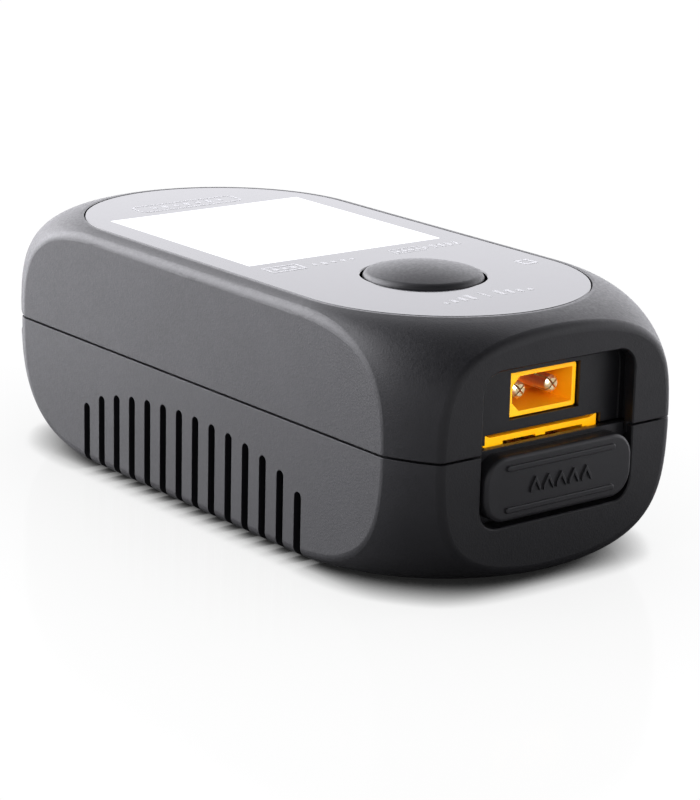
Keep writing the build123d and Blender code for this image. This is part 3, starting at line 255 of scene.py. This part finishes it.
def screen_marks():
    """The picture on the screen, as (colour, middle, half size) in metres, read with +Y to the right."""
    soft, blue = rgb(0.42, 0.5, 0.62), rgb(0.1, 0.42, 0.85)
    green, amber = rgb(0.12, 0.62, 0.3), rgb(0.95, 0.5, 0.08)
    marks = [(blue, (-13.2, 0), (1.2, 14.9))]
    marks += [(rgb(0.9, 0.95, 1.0), (-13.2, y), (0.35, 1.6)) for y in (-11.5, 11.5)]
    for y, tint in ((-9.5, green), (0, blue), (9.5, amber)):
        marks.append((tint, (-8.4, y), (1.9, 3.9)))
        marks.append((rgb(0.93, 0.96, 1.0), (-8.4, y), (1.5, 3.5)))
        marks.append((tint, (-8.9, y), (0.45, 2.4)))
        marks.append((soft, (-7.6, y), (0.2, 1.5)))
    for i, level in enumerate((5.6, 5.2, 5.8, 5.4, 5.7, 5.3)):
        y = (i - 2.5) * 4.6
        marks.append((soft, (5.0, y), (6.6, 1.5)))
        marks.append((rgb(0.93, 0.96, 1.0), (5.0, y), (6.35, 1.25)))
        marks.append((green, (11.0 - level, y), (level, 0.95)))
    return marks


def screen_picture(m, x, y):
    """White glow, bars for six cells and a fine pixel grid, washed out when seen at a low angle."""
    white = rgb(0.93, 0.96, 1.0)
    glow = white
    for tint, middle, half in screen_marks():
        at = (SCREEN_X + middle[0] * MM, middle[1] * MM)
        glow = m.mix(m.box(x, y, at, (half[0] * MM, half[1] * MM)), glow, tint)
    grid = m.add("ShaderNodeTexChecker")
    grid.inputs["Scale"].default_value = 7000
    m.link(m.place, grid.inputs["Vector"])
    glow = m.mix(m.math("MULTIPLY", grid.outputs["Fac"], 0.06), glow, rgb(0.5, 0.55, 0.6))
    facing = m.add("ShaderNodeLayerWeight").outputs["Facing"]
    return m.mix(m.remap(facing, 0.4, 0.68, 0.0, 1.0), glow, white)


def screen_material():
    """The lit screen itself, under the panel, with slightly uneven brightness."""
    m = Nodes("screen_glass")
    x, y, z = m.split(m.place)
    drift = m.remap(m.noise(60, 2), 0.3, 0.7, 0.94, 1.0)
    m.set(Base_Color=rgb(0.04, 0.045, 0.05), Roughness=0.25)
    m.set(Emission_Color=screen_picture(m, x, y), Emission_Strength=drift)
    return m.material


def ink_material():
    """Silk-screened ink: pale grey, slightly uneven, with a soft satin surface."""
    m = Nodes("panel_ink")
    speckle = m.noise(5200, 4, 0.6)
    patch = m.remap(speckle, 0.35, 0.65, 0.0, 1.0)
    m.set(Base_Color=m.mix(patch, rgb(0.42, 0.42, 0.43), rgb(0.5, 0.5, 0.51)))
    m.set(Roughness=m.remap(speckle, 0.3, 0.7, 0.3, 0.45))
    m.bump(speckle, 0.002 * MM)
    return m.material


def board_material():
    m = Nodes("board_mask")
    traces = m.add("ShaderNodeTexBrick", offset=0.5)
    traces.inputs["Scale"].default_value = 160
    traces.inputs["Mortar Size"].default_value = 0.09
    m.link(m.place, traces.inputs["Vector"])
    tone = m.mix(traces.outputs["Fac"], rgb(0.006, 0.014, 0.01), rgb(0.014, 0.03, 0.02))
    weave = m.noise(1500, 2, 0.5, (1, 1, 0.2))
    rim = m.edges(m.rounded(0.15 * MM))
    m.set(Base_Color=m.mix(m.math("MULTIPLY", rim, 0.8), tone, rgb(0.35, 0.33, 0.2)))
    m.set(Roughness=m.remap(weave, 0.3, 0.7, 0.22, 0.36))
    m.bump(m.math("ADD", traces.outputs["Fac"], m.math("MULTIPLY", weave, 0.4)), 0.02 * MM)
    return m.material


def chip_material():
    m = Nodes("chip_epoxy")
    speckle = m.noise(5200, 4, 0.7)
    m.set(Base_Color=m.mix(speckle, rgb(0.012, 0.012, 0.013), rgb(0.04, 0.04, 0.042)))
    m.set(Roughness=m.remap(speckle, 0.3, 0.7, 0.5, 0.68))
    m.bump(speckle, 0.01 * MM)
    return m.material


def dull(name, base, light):
    """Rubber, ferrite and ceramic: matt, speckled and slightly rough to the touch."""
    m = Nodes(name)
    speckle = m.noise(2400, 5, 0.65)
    m.set(Base_Color=m.mix(m.remap(speckle, 0.35, 0.65, 0.0, 1.0), base, light))
    m.set(Roughness=m.remap(m.noise(600, 3), 0.3, 0.7, 0.7, 0.88))
    m.bump(speckle, 0.02 * MM)
    return m.material


def film_material():
    m = Nodes("flex_film")
    x, y, z = m.split(m.place)
    wave = m.math("SINE", m.math("MULTIPLY", y, 2 * math.pi / (1.0 * MM)))
    traces = m.remap(wave, -0.1, 0.1, 0.0, 1.0)
    m.set(Base_Color=m.mix(traces, rgb(0.32, 0.11, 0.01), rgb(0.62, 0.27, 0.06)))
    m.set(Roughness=m.remap(m.noise(900, 3), 0.3, 0.7, 0.18, 0.3))
    m.bump(traces, 0.01 * MM)
    return m.material


# Moulded plastics: colour, lighter colour, roughness, grain scale, grain depth in millimetres, edge wear.
PLASTICS = {
    "case": (rgb(0.011, 0.011, 0.0125), rgb(0.026, 0.026, 0.029), 0.4, 4200, 0.008, 0.25),
    "knob_plastic": (rgb(0.014, 0.014, 0.0155), rgb(0.03, 0.03, 0.033), 0.42, 6000, 0.005, 0.3),
    "cover_plastic": (rgb(0.02, 0.02, 0.022), rgb(0.05, 0.05, 0.053), 0.36, 6200, 0.004, 0.4),
    "diffuser": (rgb(0.75, 0.75, 0.77), rgb(0.9, 0.9, 0.92), 0.5, 3000, 0.01, 0.25),
    "connector_white": (rgb(0.7, 0.68, 0.6), rgb(0.85, 0.84, 0.78), 0.45, 3000, 0.006, 0.25),
    "encoder_plastic": (rgb(0.02, 0.09, 0.035), rgb(0.05, 0.16, 0.07), 0.4, 3000, 0.006, 0.25),
    "black_nylon": (rgb(0.008, 0.008, 0.008), rgb(0.04, 0.04, 0.04), 0.45, 3500, 0.008, 0.25),
    "fan_plastic": (rgb(0.008, 0.008, 0.009), rgb(0.03, 0.03, 0.032), 0.4, 3500, 0.01, 0.25),
}

# Metals: colour, darker colour, roughness, stretch of the brushing along each axis, brushing scale.
METALS = {
    "screw_steel": (rgb(0.25, 0.25, 0.26), rgb(0.1, 0.1, 0.1), 0.34, (1, 1, 6), 1800),
    "lcd_metal": (rgb(0.6, 0.61, 0.63), rgb(0.4, 0.4, 0.42), 0.3, (1, 18, 1), 1800),
    "encoder_metal": (rgb(0.7, 0.7, 0.71), rgb(0.45, 0.45, 0.46), 0.28, (1, 1, 14), 1800),
    "contact_gold": (rgb(1.0, 0.86, 0.55), rgb(0.92, 0.7, 0.36), 0.34, (9, 1, 1), 1800),
    "contact_tin": (rgb(0.78, 0.77, 0.74), rgb(0.55, 0.55, 0.54), 0.26, (9, 1, 1), 1800),
    "can_steel": (rgb(0.62, 0.62, 0.64), rgb(0.4, 0.4, 0.42), 0.26, (14, 1, 1), 1800),
    "can_aluminium": (rgb(0.8, 0.8, 0.82), rgb(0.6, 0.6, 0.62), 0.3, (1, 1, 10), 1800),
    "shunt_alloy": (rgb(0.6, 0.45, 0.36), rgb(0.4, 0.3, 0.24), 0.35, (12, 1, 1), 1800),
    "heatsink_aluminium": (rgb(0.4, 0.4, 0.42), rgb(0.22, 0.22, 0.23), 0.42, (12, 1, 1), 1800),
    "winding_copper": (rgb(0.75, 0.33, 0.12), rgb(0.45, 0.16, 0.05), 0.3, (1, 1, 22), 900),
}

# Dull, speckled materials: colour and lighter colour.
DULL = {
    "foot_rubber": (rgb(0.01, 0.01, 0.01), rgb(0.03, 0.03, 0.03)),
    "adhesive_film": (rgb(0.01, 0.01, 0.01), rgb(0.03, 0.03, 0.03)),
    "ferrite": (rgb(0.06, 0.06, 0.065), rgb(0.16, 0.16, 0.17)),
    "resistor_ceramic": (rgb(0.015, 0.015, 0.018), rgb(0.08, 0.08, 0.085)),
    "thermal_silicone": (rgb(0.16, 0.24, 0.34), rgb(0.26, 0.34, 0.44)),
    "cable_jacket": (rgb(0.2, 0.012, 0.012), rgb(0.34, 0.03, 0.03)),
}

SPECIAL = {
    "panel_gloss": panel_material,
    "screen_glass": screen_material,
    "amber_nylon": amber_material,
    "flex_film": film_material,
    "board_mask": board_material,
    "chip_epoxy": chip_material,
}


def material_for(slot_name):
    if slot_name in PLASTICS:
        return moulded(slot_name, *PLASTICS[slot_name])
    if slot_name in METALS:
        return metal(slot_name, *METALS[slot_name])
    if slot_name in DULL:
        return dull(slot_name, *DULL[slot_name])
    return SPECIAL[slot_name]()


def dress_cad():
    """Gives each CAD node its slot's material."""
    made = {}
    for part in frame["record"]["subparts"]:
        slot_name = part["material_slot"]
        if slot_name not in made:
            made[slot_name] = material_for(slot_name)
        mesh = NODES[part["node"]].data
        mesh.materials.clear()
        mesh.materials.append(made[slot_name])
        for face in mesh.polygons:
            face.material_index = 0
    return made


# ================================================================ printed marks
def round_box(middle, half, corner=0.0, steps=6):
    """A closed outline, in millimetres, of a rectangle with round corners."""
    (x, y), (a, b) = middle, half
    corner = min(corner, a, b)
    points = []
    for index, (sx, sy) in enumerate(((1, 1), (-1, 1), (-1, -1), (1, -1))):
        for step in range(steps + 1 if corner else 1):
            turn = math.pi / 2 * (index + step / steps)
            cx, cy = x + sx * (a - corner), y + sy * (b - corner)
            points.append((cx + corner * math.cos(turn), cy + corner * math.sin(turn)))
    return points


def frame_outlines(middle, half, corner, line):
    """A hollow rounded rectangle, as an outer and an inner outline."""
    inner = (half[0] - line, half[1] - line)
    return [round_box(middle, half, corner), round_box(middle, inner, max(corner - line, 0.05))]


def print_marks(name, outlines):
    """A thin film of ink on the panel, filled between closed outlines given in millimetres."""
    curve = bpy.data.curves.new(name, "CURVE")
    curve.dimensions = "2D"
    curve.fill_mode = "BOTH"
    curve.extrude = INK_THICK / 2
    for outline in outlines:
        spline = curve.splines.new("POLY")
        spline.points.add(len(outline) - 1)
        for point, (x, y) in zip(spline.points, outline):
            point.co = (x * MM, y * MM, 0, 1)
        spline.use_cyclic_u = True
    flat = bpy.data.objects.new(name + "_curve", curve)
    bpy.context.scene.collection.objects.link(flat)
    mesh = bpy.data.meshes.new_from_object(flat.evaluated_get(bpy.context.evaluated_depsgraph_get()))
    bpy.data.objects.remove(flat)
    bpy.data.curves.remove(curve)
    mark = bpy.data.objects.new(name, mesh)
    bpy.context.scene.collection.objects.link(mark)
    mark.location.z = PANEL_TOP + INK_THICK / 2
    mesh.materials.clear()
    mesh.materials.append(MADE["ink"])
    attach(mark, "case")
    return mark


def badge_outlines():
    """A rounded frame with a row of plain blocks in it, at the input end."""
    outlines = frame_outlines((-30.1, -0.3), (1.9, 8.1), 1.2, 0.34)
    for i in range(7):
        length = 0.75 if i % 2 else 0.5
        outlines.append(round_box((-30.1, (i - 3) * 1.75 - 0.3), (length, 0.36), 0.15))
    return outlines


def battery_outlines(x, y, cells):
    """A small battery: frame, terminal and charge bars."""
    outlines = frame_outlines((x, y), (1.1, 2.5), 0.35, 0.26)
    outlines.append(round_box((x, y + 2.85), (0.45, 0.25), 0.1))
    for i in range(cells):
        outlines.append(round_box((x, y - 1.6 + i * 1.05), (0.55, 0.26), 0.08))
    return outlines


def model_outlines():
    """The row of marks beside the screen: a framed badge, a run of dots, and a battery with ticks."""
    outlines = frame_outlines((7.4, -12.0), (1.4, 2.6), 0.3, 0.4)
    for i in range(3):
        outlines.append(round_box((7.4, -13.3 + i * 1.3), (0.6, 0.35), 0.1))
    for i in range(5):
        outlines.append(round_box((7.7, -7.6 + i * 1.4), (0.35 + 0.25 * (i % 2), 0.3), 0.2))
    outlines += battery_outlines(7.4, 7.0, 4)
    for i in range(4):
        outlines.append(round_box((7.4, 11.2 + i * 1.2), (0.8, 0.25), 0.12))
    return outlines


def knob_outlines():
    """Marks for the knob: rising bars, a divider and falling bars."""
    outlines = [round_box((30.6, -0.4), (1.3, 0.14), 0.1)]
    for i in range(4):
        rise = 0.35 + 0.25 * i
        outlines.append(round_box((31.8 - rise, -6.8 + i * 1.4), (rise, 0.32), 0.12))
        outlines.append(round_box((31.8 - rise, 6.0 - i * 1.4), (rise, 0.32), 0.12))
    return outlines


def make_prints():
    print_marks("print_badge", badge_outlines())
    print_marks("print_row", model_outlines())
    print_marks("print_knob_scale", knob_outlines())
    icon = frame_outlines((20.3, 15.2), (1.15, 1.15), 0.25, 0.5)
    print_marks("print_icon", icon)


# ================================================================ stage
def along(m, vector, way):
    """The cosine between a shader vector and a fixed direction."""
    dot = m.add("ShaderNodeVectorMath", operation="DOT_PRODUCT")
    m.link(vector, dot.inputs[0])
    dot.inputs[1].default_value = way
    return dot.outputs["Value"]


def openness(m, reach, samples):
    """How much of what is above a point, out to the reach, is empty."""
    node = m.add("ShaderNodeAmbientOcclusion", samples=samples)
    node.inputs["Distance"].default_value = reach
    return node.outputs["AO"]


def camera_below(m):
    """1 when the camera is lower than the shaded point, and 0 when it is higher."""
    up = m.add("ShaderNodeVectorTransform", vector_type="VECTOR", convert_from="WORLD", convert_to="CAMERA")
    up.inputs[0].default_value = (0, 0, 1)
    dot = m.add("ShaderNodeVectorMath", operation="DOT_PRODUCT")
    m.link(up.outputs[0], dot.inputs[0])
    m.link(m.add("ShaderNodeCameraData").outputs["View Vector"], dot.inputs[1])
    return m.math("GREATER_THAN", dot.outputs["Value"], 0.0)


def make_floor():
    """A white, faintly glossy floor with a painted close contact shadow and a fainter, wider painted shadow,
    gone when the camera is under it.

    To reflections it carries painted shade: darker on the camera's side and close to the object.
    """
    bpy.ops.mesh.primitive_plane_add(size=6)
    floor = bpy.context.object
    floor.name = "studio_floor"
    m = Nodes("studio_floor")
    # Painted shade in the floor's colour, seen in reflections only: darker towards the camera's side and
    # near the object.
    way = m.add("ShaderNodeVectorMath", operation="NORMALIZE")
    m.link(m.place, way.inputs[0])
    shade = m.remap(along(m, way.outputs["Vector"], FLOOR_DARK_WAY), -0.7, 0.84, 0.9, 0.3)
    reach = m.add("ShaderNodeVectorMath", operation="LENGTH")
    m.link(m.place, reach.inputs[0])
    shade = m.math("MULTIPLY", shade, m.remap(reach.outputs["Value"], *FLOOR_NEAR, 0.4, 1.0))
    m.set(Base_Color=m.mix(shade, rgb(0, 0, 0), rgb(1, 1, 1)))
    m.set(Roughness=m.remap(m.noise(40, 2), 0.3, 0.7, 0.16, 0.22))
    # Painted shadows: the floor's glow is dimmed close under the case, and faintly further out.
    contact = m.remap(openness(m, CONTACT_PAINTED_SHADOW_REACH, 32), 0.1, 0.75, 0.015, 1.0)
    soft = m.remap(openness(m, SOFT_PAINTED_SHADOW_REACH, 16), 0.5, 1.0, 0.9, 1.0)
    lit = m.add("ShaderNodeEmission")
    m.link(m.math("MULTIPLY", contact, soft), lit.inputs["Strength"])
    gloss = m.add("ShaderNodeBsdfGlossy")
    gloss.inputs["Roughness"].default_value = 0.12
    seen = m.add("ShaderNodeMixShader")
    seen.inputs[0].default_value = 0.016
    m.link(lit.outputs[0], seen.inputs[1])
    m.link(gloss.outputs[0], seen.inputs[2])
    both = m.add("ShaderNodeMixShader")
    m.link(m.add("ShaderNodeLightPath").outputs["Is Camera Ray"], both.inputs[0])
    m.link(m.bsdf.outputs[0], both.inputs[1])
    m.link(seen.outputs[0], both.inputs[2])
    sides = m.add("ShaderNodeMixShader")
    m.link(camera_below(m), sides.inputs[0])
    m.link(both.outputs[0], sides.inputs[1])
    m.link(m.add("ShaderNodeBsdfTransparent").outputs[0], sides.inputs[2])
    m.link(sides.outputs[0], m.output.inputs["Surface"])
    floor.data.materials.append(m.material)
    floor.location.z = -0.02 * MM


class Room(Nodes):
    """The same short calls, for the world's node tree."""

    def __init__(self, name):
        world = bpy.data.worlds.new(name)
        bpy.context.scene.world = world
        world.use_nodes = True
        self.tree = world.node_tree
        self.background = self.tree.nodes["Background"]
        self.output = self.tree.nodes["World Output"]
        self.place = self.add("ShaderNodeTexCoord").outputs["Generated"]

    def ramp(self, value, start, end, first, last):
        node = self.add("ShaderNodeMapRange", interpolation_type="SMOOTHSTEP")
        self.link(value, node.inputs["Value"])
        for key, number in (("From Min", start), ("From Max", end), ("To Min", first), ("To Max", last)):
            node.inputs[key].default_value = number
        return node.outputs["Result"]


def make_room():
    """Lights the object from all round, and shows the camera plain white."""
    room = Room("studio")
    wall = room.ramp(along(room, room.place, ROOM_DARK_WAY), *ROOM_TURN, ROOM_BRIGHT, ROOM_DARK)
    ceiling = room.ramp(along(room, room.place, (0, 0, 1)), *CEILING_TURN, 1.0, CEILING_DIM)
    wall = room.math("MULTIPLY", wall, ceiling)
    glow = room.ramp(along(room, room.place, GLOW_WAY), *GLOW_SPREAD, 0.0, GLOW)
    room.link(room.math("ADD", wall, glow), room.background.inputs["Strength"])
    room.background.inputs["Color"].default_value = ROOM_TINT
    plain = room.add("ShaderNodeBackground")
    plain.inputs["Color"].default_value = rgb(1, 1, 1)
    both = room.add("ShaderNodeMixShader")
    room.link(room.add("ShaderNodeLightPath").outputs["Is Camera Ray"], both.inputs[0])
    room.link(room.background.outputs[0], both.inputs[1])
    room.link(plain.outputs[0], both.inputs[2])
    room.link(both.outputs[0], room.output.inputs["Surface"])


def make_port_fill(name, at, power):
    """A small light that reaches only the connectors, so that they read inside their dark recess."""
    lit = bpy.data.collections.new(name + "_receivers")
    for part in frame["record"]["subparts"]:
        if part["material_slot"] in ("amber_nylon", "contact_gold", "contact_tin", "can_steel"):
            lit.objects.link(NODES[part["node"]])
    light = bpy.data.lights.new(name, "AREA")
    light.size = 0.12
    light.energy = power
    lamp = bpy.data.objects.new(name, light)
    bpy.context.scene.collection.objects.link(lamp)
    lamp.location = at
    aim = Vector((math.copysign(CASE_TOP.x, at[0]), 0, CASE_TOP.z / 2)) - Vector(at)
    lamp.rotation_euler = aim.to_track_quat("-Z", "Y").to_euler()
    lamp.light_linking.receiver_collection = lit


def make_camera():
    camera = bpy.data.cameras.new("camera")
    camera.lens = CAMERA_LENS
    camera.shift_x, camera.shift_y = CAMERA_SHIFT
    camera.clip_start = 0.01
    holder = bpy.data.objects.new("camera", camera)
    bpy.context.scene.collection.objects.link(holder)
    azimuth, elevation = math.radians(CAMERA_AZIMUTH), math.radians(CAMERA_ELEVATION)
    gaze = Vector((-math.sin(azimuth), math.cos(azimuth), 0)) * math.cos(elevation)
    gaze.z = -math.sin(elevation)
    turn = gaze.to_track_quat("-Z", "Y") @ Matrix.Rotation(math.radians(CAMERA_ROLL), 3, "Z").to_quaternion()
    holder.matrix_world = Matrix.LocRotScale(CAMERA_AT, turn, None)
    bpy.context.scene.camera = holder


# ================================================================ build
MADE = dress_cad()
MADE["ink"] = ink_material()
make_prints()
make_floor()
make_room()
make_port_fill("output_fill", (0.3, -0.12, 0.12), 1.25)
make_port_fill("input_fill", (-0.3, 0.12, 0.12), 1.25)
make_camera()
bpy.context.scene.view_settings.view_transform = "Standard"
